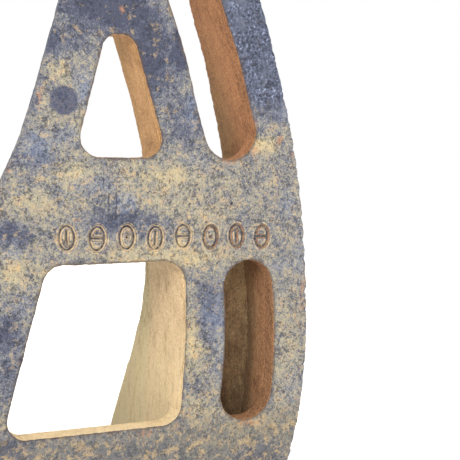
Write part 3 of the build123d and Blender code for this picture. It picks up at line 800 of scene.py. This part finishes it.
def face_material():
    """Face plate: worn paint and dust in front, streaked soil on its edges and window walls."""
    look = Look("face_paint")
    near = look.warped(9, 2.6)
    soil = look.patches(near, SOIL_PATCHES, 0.52)
    color, level = dusty_paint(look, soil, look.patches(near, PALE_PATCHES, 0))
    foot = look.rise(look.plus(look.z, look.waver(16, 3, 0.6, 40)), *FOOT_Z)
    grime = look.times(look.rise(look.z, *GRIME_Z), look.between(foot, 0.25, 1.0))
    scored = look.times(look.patches(look.warped(5, 0.35), SCRATCHES, 0),
                        look.blots(2.2, 3, 0.7, 0.36, 0.52))
    # The strip with a hammered, glossy paint, its pebbles painted darker in their hollows as painted shade
    # and with painted glints on their tops.
    hammered = look.rise(look.patch(near, *HAMMERED), 0.04, 0.22)
    pebbles = look.noise(1.25, 2, 0.5)
    broken = look.blots(12, 2, 0.5, 0.36, 0.52)
    enamel_and_painted_light = look.mix(look.rise(pebbles, 0.34, 0.56), *ENAMEL_AND_PAINTED_SHADE)
    enamel_and_painted_light = look.mix(look.rise(pebbles, 0.60, 0.72), enamel_and_painted_light, PAINTED_ENAMEL_GLINT)
    enamel_and_painted_light = look.mix(broken, SMOOTH_ENAMEL, enamel_and_painted_light)
    # The round spot.
    away = look.vector("SUBTRACT", look.warped(3, 0.35), (SPOT_X, 0, SPOT_Z))
    away = look.vector("LENGTH", look.vector("MULTIPLY", away, (1, 0, 1)))
    spot = look.rise(away, SPOT_RADIUS + SPOT_EDGE, SPOT_RADIUS - SPOT_EDGE)
    rust = look.patches(near, RUST_PATCHES, 0)
    color = look.coats(
        color,
        (grime, 0.52, GRIME),
        (look.times(look.blots(5, 6, 0.82, 0.525, 0.56), grime), 0.60, ISLAND_TAN),
        (scored, 0.95, SCRATCH),
        (hammered, 0.88, enamel_and_painted_light),
        (spot, 0.80, SPOT_BLUE),
        (look.frayed(rust, 1.6, 2.4, 0.35, 1.0), 0.50, RUST_SPOT),
        # Painted shade in the marks' grooves, and a painted highlight on their lips.
        (look.frayed(look.attribute("groove"), 1.7, 2.6, 0.3, 1.3), 0.70, GROOVE_PAINTED_SHADE),
        (look.frayed(look.attribute("lip"), 2.4, 2.4, 0.55, 1.2), 0.60, LIP_PAINTED_HIGHLIGHT),
        (look.frayed(look.attribute("rim"), 2.0, 1.0, 0.45, 0.95, detail=3), 0.65, RIM_RUST),
        # Painted shade along the window edges.
        (look.frayed(look.attribute("hem"), 3.0, 1.6, 0.40, 0.80), 0.66, HEM_PAINTED_SHADE))
    # The walls of the windows and slots.
    steep = look.rise(look.math("ABSOLUTE", look.parts(look.normal)[1]), 0.80, 0.55)
    side = look.times(steep, look.rise(look.attribute("outer"), 0.6, 0.2))
    color = look.mix(side, color, wall_colour(look)[0])
    height = look.plus(look.noise(0.9, 3, 0.65), look.times(level, 0.35),
                       look.times(pebbles, broken, hammered, 4))
    shine = look.between(look.rise(level, 0.2, 0.6), SATIN, MATT)
    shine = look.plus(shine, look.times(hammered, look.minus(GLOSSY, shine)))
    shine = look.plus(shine, look.times(side, look.minus(MATT, shine)))
    return look.finish(color, shine, height, 0.55)


def bar_material():
    """Bars seen through the windows: streaked dry soil over rust, and paint on their outer sides."""
    look = Look("streaked_bar")
    wall, height = wall_colour(look)
    paint = dusty_paint(look, look.waver(26, 5, 0.65, 1.25, 0.42), -0.1)[0]
    paint = look.coats(paint, (look.blots(14, 5, 0.75, 0.56, 0.66), 0.6, RUST))
    side, back, _ = look.parts(look.normal)
    outside = look.rise(look.plus(side, back), 0.45, 0.75)
    foot = look.rise(look.plus(look.z, look.waver(12, 3, 0.6, 30)), *PAINTED_FOOT_Z)
    painted = look.math("MAXIMUM", outside, look.times(foot, 0.75))
    return look.finish(look.mix(painted, wall, paint), 0.86, height, 0.25)


def painted_material(name, soil_level, rust_level):
    """Paint, dust and rust for the plates and ribs outside the face."""
    look = Look(name)
    near = look.warped(14, 5)
    upward = look.rise(look.parts(look.normal)[2], 0.2, 0.9)
    soil = look.plus(look.waver(26, 5, 0.65, 1.25, soil_level, near), look.times(upward, 0.20))
    color, level = dusty_paint(look, soil, look.waver(20, 2, 0.5, 0.6, -0.15))
    rust = look.blots(18, 5, 0.72, 0.62 - rust_level, 0.70 - rust_level, near)
    bare = look.times(look.edges(0.53, 0.60), look.blots(3, 3, 0.7, 0.38, 0.55))
    color = look.coats(
        color,
        (rust, 0.7, look.mix(look.blots(1.6, 4, 0.7, 0.4, 0.62), DARK_RUST, RUST)),
        (bare, 0.75, BARE_EDGE))
    height = look.plus(look.noise(1.2, 3, 0.65), look.times(level, 0.25))
    return look.finish(color, look.between(look.rise(level, 0.2, 0.6), SATIN, MATT), height, 0.35)


def weld_material():
    """Weld beads: dull scale and rust under dust."""
    look = Look("weld_bead")
    red = look.mix(look.blots(1.5, 4, 0.7, 0.35, 0.65), *WELD_RUST)
    color = look.coats(
        look.mix(look.blots(8, 3, 0.6, 0.36, 0.60), red, WELD_SCALE),
        (look.blots(3, 4, 0.7, 0.46, 0.70), 0.6, WELD_DUST))
    return look.finish(color, 0.75, look.noise(0.8, 3, 0.6), 0.2)


def cast_material(name, tip_low, tip_high):
    """Rough casting, rusted and dusty, and polished by the soil between two heights in mm."""
    look = Look(name)
    skin = look.noise(1.1, 4, 0.7)
    red = look.mix(look.rise(skin, 0.35, 0.65), *CASTING_RUST)
    earth = look.plus(look.waver(16, 5, 0.7, 0.8), look.noise(1.6, 4, 0.72))
    color = look.coats(
        look.mix(look.blots(9, 4, 0.65, 0.36, 0.64), *CASTING),
        (look.blots(7, 5, 0.75, 0.44, 0.66), 0.75, red),
        (look.rise(earth, 0.46, 0.74), 0.50, DULL_TAN))
    streak = look.noise(1.1, 4, 0.65, stretch=(1, 1, 0.07))
    worn_to = look.plus(look.z, look.waver(14, 3, 0.6, 60))
    ridges = look.times(look.edges(0.52, 0.58), 0.7)
    polish = look.math("MAXIMUM", look.rise(worn_to, tip_low, tip_high), ridges)
    color = look.mix(polish, color, look.mix(look.rise(streak, 0.36, 0.64), *POLISHED))
    height = look.plus(look.times(skin, look.between(polish, 0.8, 0.15)), look.times(streak, polish, 0.6))
    return look.finish(color, look.between(polish, 0.86, 0.46), height, 0.35, look.times(polish, 0.7))


def steel_material(name, grey, rust_from):
    """Machined steel gone dull, with rust freckles and greasy soil."""
    look = Look(name)
    turned = look.noise(0.5, 3, 0.6, stretch=(1, 0.2, 1))
    steel = look.mix(look.rise(turned, 0.38, 0.62), tuple(0.6 * v for v in grey), grey)
    red = look.mix(look.blots(0.8, 3, 0.7, 0.4, 0.6), DARK_RUST, RUST)
    rust = look.blots(3.5, 5, 0.75, rust_from, rust_from + 0.12)
    earth = look.blots(2.4, 4, 0.7, 0.56, 0.70)
    color = look.coats(look.mix(rust, steel, red), (earth, 0.6, TAN))
    metal = look.times(look.minus(1, look.math("MAXIMUM", rust, earth)), 0.8)
    return look.finish(color, look.between(rust, 0.42, 0.85), look.noise(0.9, 4, 0.65), 0.10, metal)


def sleeve_material():
    """Dull red polyurethane with ground-in soil."""
    look = Look("red_polymer")
    earth = look.blots(1.5, 4, 0.72, 0.46, 0.64)
    color = look.coats(look.mix(look.blots(5, 3, 0.6, 0.35, 0.65), *POLYMER), (earth, 0.6, TAN))
    return look.finish(color, look.between(earth, 0.50, 0.85), look.noise(0.7, 3, 0.6), 0.08)


# -------- weld beads
WELD_STEP = 0.7  # between a bead's rings
WELD_REACH = 0.8  # how near the other piece an edge must be to be welded
SHARP, UPRIGHT = 0.85, 0.75  # cosines of an edge's bend, and of its faces to the ground
AHEAD = 0.3  # cosine of the bend that a bead still follows
STRETCH, SHORTEST = 3, 8  # lengths of a stretch of an edge, and of the shortest bead
RIPPLE, RIPPLE_HEIGHT, RIPPLE_LAG = 1.9, 0.30, 1.1
SUNK, FLATTENED, TAPER = 0.35, 0.17, 1.2  # shares of a bead's leg
BEAD_ANGLES = [math.radians(a) for a in (0, 18, 36, 54, 72, 90)]
HIDDEN_BELOW, HIDDEN_ABOVE = 98, 240  # heights where the middle rib's beads are out of sight


def sharp_edges(name):
    """Short stretches of a CAD node's sharp edges: both ends and the two faces' normals."""
    places, triangles = cad_arrays(name)
    a, b, c = (places[triangles[:, k]] for k in range(3))
    normals = unit(np.cross(b - a, c - a))
    sides = {}
    for index, (a, b, c) in enumerate(triangles):
        for pair in ((a, b), (b, c), (c, a)):
            sides.setdefault((min(pair), max(pair)), []).append(index)
    stretches = []
    for (a, b), faces in sides.items():
        if len(faces) != 2 or normals[faces[0]] @ normals[faces[1]] > SHARP:
            continue
        parts = max(1, int(np.linalg.norm(places[b] - places[a]) / STRETCH))
        stops = [places[a] + (places[b] - places[a]) * k / parts for k in range(parts + 1)]
        stretches += [(p, q, *normals[faces]) for p, q in zip(stops, stops[1:])]
    return stretches


def seams(name, other, keep=None):
    """Runs along a node's sharp edges that lie on another node, with both surfaces' normals."""
    places, triangles = cad_arrays(other)
    tree = BVHTree.FromPolygons(places.tolist(), triangles.tolist())
    ends, links = {}, []
    for p, q, *normals in sharp_edges(name):
        middle = (p + q) / 2
        hits = [tree.find_nearest(Vector(place)) for place in (middle, p, q)]
        ground = np.array(hits[0][1])
        under, side = sorted(normals, key=lambda normal: normal @ ground)
        if max(hit[3] for hit in hits) > WELD_REACH or under @ ground > -UPRIGHT:
            continue
        if side @ ground > UPRIGHT or keep and not keep(middle, side):
            continue
        keys = [tuple(np.round(end, 1)) for end in (p, q)]
        links.append((keys, p, q, side, ground))
        for key in keys:
            ends.setdefault(key, []).append(len(links) - 1)
    used, runs = set(), []
    for first in sorted(range(len(links)), key=lambda i: min(len(ends[k]) for k in links[i][0])):
        if first in used:
            continue
        keys = links[first][0]
        here = keys[0] if len(ends[keys[0]]) == 1 or len(ends[keys[1]]) != 1 else keys[1]
        link, run = first, []
        while link is not None:
            used.add(link)
            keys, p, q, side, ground = links[link]
            if keys[0] != here:
                keys, p, q = keys[::-1], q, p
            run.append((p, side, ground))
            here = keys[1]
            link = next((k for k in ends[here] if k not in used and links[k][3] @ side > AHEAD), None)
        run.append((q, side, ground))
        if run_length(np.array([place for place, _, _ in run]))[-1] > SHORTEST:
            runs.append(run)
    return runs


def smoothed(rows, reach):
    """Moving average of rows of vectors."""
    padded = np.vstack([rows[:1]] * reach + [rows] + [rows[-1:]] * reach)
    return sum(padded[k:k + len(rows)] for k in range(2 * reach + 1)) / (2 * reach + 1)


def bead(run, leg, seed):
    """Rippled weld bead along a run: its places and faces."""
    places, sides, grounds = (np.array(rows) for rows in zip(*run))
    length = run_length(places)
    stops = np.linspace(0, length[-1], max(6, int(length[-1] / WELD_STEP)))
    line = spaced(places, stops)
    index = np.clip(np.searchsorted(length, stops, side="right") - 1, 0, len(run) - 1)
    away, upward = (unit(smoothed(rows[index], 3)) for rows in (sides, grounds))
    taper = np.clip(np.minimum(stops, length[-1] - stops) / (TAPER * leg), 0.12, 1) ** 0.5
    size = leg * taper * (1 + waves(line, ((0.10, 5, seed), (0.05, 1.6, seed + 1))))
    rings = [line - SUNK * size[:, None] * (away + upward)]
    for angle in BEAD_ANGLES:
        middle = math.sin(2 * angle)
        phase = stops + RIPPLE_LAG * middle + 0.4 * wave(line, 4, seed + 2)
        crest = np.abs(np.sin(math.pi * phase / RIPPLE)) ** 0.7
        reach = size * (1 - FLATTENED * middle) + RIPPLE_HEIGHT * middle * (crest - 0.6)
        rings.append(line + reach[:, None] * (math.cos(angle) * away + math.sin(angle) * upward))
    grid = np.arange(len(line) * len(rings)).reshape(len(line), len(rings))
    faces = []
    for near, far in zip(grid, grid[1:]):
        faces += zip(near, np.roll(near, -1), np.roll(far, -1), far)
    faces += [grid[0][::-1], grid[-1]]
    if np.cross(line[1] - line[0], away[0]) @ upward[0] < 0:
        faces = [face[::-1] for face in faces]
    return np.stack(rings, axis=1).reshape(-1, 3), faces


def welds(name, pairs, material):
    """One piece of all beads between nodes, each pair as (node, other node, leg in mm, any filter)."""
    all_places, all_faces, start = [], [], 0
    for number, (node, other, leg, *keep) in enumerate(pairs):
        for run in seams(node, other, *keep):
            places, faces = bead(run, leg, number)
            all_places.append(places)
            all_faces += [[k + start for k in face] for face in faces]
            start += len(places)
    return new_piece(name, np.vstack(all_places), all_faces, material)


def outer_side(place, side):
    """Only the side that faces away from the slots."""
    return side[0] > 0.4


def clear_of_windows(place, side):
    """Not where the bead would show in a window or a slot."""
    return side[0] > 0 and place[2] > HIDDEN_ABOVE or place[2] < HIDDEN_BELOW


# -------- the pieces
SCRATCHED_FROM, SCRATCHED_TO = 0.35, 0.75  # shares of the point's length
BATTERED = 5  # length of the battered edge at the tip


def gouges(places, normals):
    """Long scratches and a battered edge towards the tip of the point."""
    along = (places[:, 2] - POINT_FOOT) / (POINT_TIP - POINT_FOOT)
    nearness = np.clip((along - SCRATCHED_FROM) / (SCRATCHED_TO - SCRATCHED_FROM), 0, 1)
    scratch = np.clip(wave(places * [1, 1, 0.05], 1.7, 31) - 0.12, 0, 1)
    scar = np.clip(wave(places * [1, 1, 0.3], 7, 32) - 0.30, 0, 1)
    lip = np.clip((places[:, 2] - POINT_TIP + BATTERED) / BATTERED, 0, 1)
    return nearness * (0.9 * scratch + 1.5 * scar) + lip * (0.8 + 0.9 * wave(places, 6, 33))


def chips(places, normals):
    """Scars on the guard's leading side."""
    return np.clip(wave(places * [1, 1, 0.5], 6, 41) - 0.2, 0, 1) * 1.2 * np.clip(-normals[:, 0], 0, 1)


make_camera()
make_studio()

face = face_material()
bar = bar_material()
painted = painted_material("soiled_paint", 0.42, 0.03)
root_paint = painted_material("root_paint", 0.55, 0.05)
cast = cast_material("cast_point", 440.0, 505.0)
guard_cast = cast_material("cast_guard", 900.0, 1000.0)
nose_cast = cast_material("cast_nose", 420.0, 900.0)
lock_steel = steel_material("lock_steel", (0.30, 0.29, 0.28), 0.50)
pin_steel = steel_material("pin_steel", (0.26, 0.25, 0.24), 0.46)
polymer = sleeve_material()
weld = weld_material()

places, faces, marks = face_plate_mesh()
plate = new_piece("face_plate_worn", places, faces, face)
for name, values in marks.items():
    plate.data.attributes.new(name, "FLOAT", "POINT").data.foreach_set("value", values)
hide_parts("face_plate")

JOINED = 2.5  # how far the trailing bar goes on into the plates
LINING = 1.6  # how far behind the face the middle rib's wall starts in the windows

worn("base_flange", root_paint, voxel=1.6, rough=0.28)
worn("outer_rim", bar, voxel=0.9, grain=(1, 1, 0.3), swell=0.1,
     reach=[(1, PLATE_BACK, PLATE_BACK - JOINED), (1, REAR_JOINT, REAR_JOINT + JOINED)])
worn("rear_plate", bar, rough=0.10, swell=0.1)
worn("mid_rib", bar, voxel=0.9, rough=0.12, grain=(1, 1, 0.3), swell=0.3,
     reach=[(1, PLATE_BACK, FACE_Y + LINING)])
worn("heel_strap", bar, voxel=1.1, rough=0.12, grain=(1, 1, 0.3), swell=0.3)
worn("outer_rib", painted)
worn("side_rib", painted, voxel=1.4)
worn("root_web", root_paint, voxel=1.3)
worn("front_gussets", root_paint, voxel=0.9)
worn("lifting_eye", root_paint, voxel=0.8, rough=0.12)
worn("nose", nose_cast, voxel=1.1, rough=0.12)
worn("tooth_point", cast, "point", voxel=0.85, rough=0.24, fine=0.09, dents=gouges)
worn("shank_guard", guard_cast, voxel=0.8, rough=0.25, fine=0.09, dents=chips)
worn("guard_pins", pin_steel, voxel=0.45, rough=0.05, fine=0.02)
worn("guard_pin_clips", pin_steel, voxel=0.26, rough=0.02, fine=0.01)
for side in ("near", "far"):
    worn(side + "_lock", lock_steel, side + "_lock", voxel=0.36, rough=0.03, fine=0.02)
    worn(side + "_lock_sleeve", polymer, "point", voxel=0.4, rough=0.03, fine=0.02)

welds("shank_welds", [
    ("outer_rim", "face_plate", 1.9, outer_side),
    ("outer_rim", "rear_plate", 1.9, outer_side),
    ("mid_rib", "face_plate", 4, clear_of_windows),
    ("side_rib", "face_plate", 5),
    ("rear_plate", "mid_rib", 4),
    ("heel_strap", "mid_rib", 4, clear_of_windows),
    ("outer_rib", "rear_plate", 4.5),
    ("outer_rib", "heel_strap", 4),
], weld)
welds("root_welds", [
    ("front_gussets", "base_flange", 5), ("front_gussets", "face_plate", 5),
    ("face_plate", "base_flange", 6), ("mid_rib", "base_flange", 6), ("side_rib", "base_flange", 6),
    ("root_web", "base_flange", 5), ("root_web", "side_rib", 5), ("root_web", "mid_rib", 5),
    ("heel_strap", "base_flange", 6), ("outer_rib", "base_flange", 5), ("rear_plate", "base_flange", 5),
    ("lifting_eye", "base_flange", 6),
], weld)
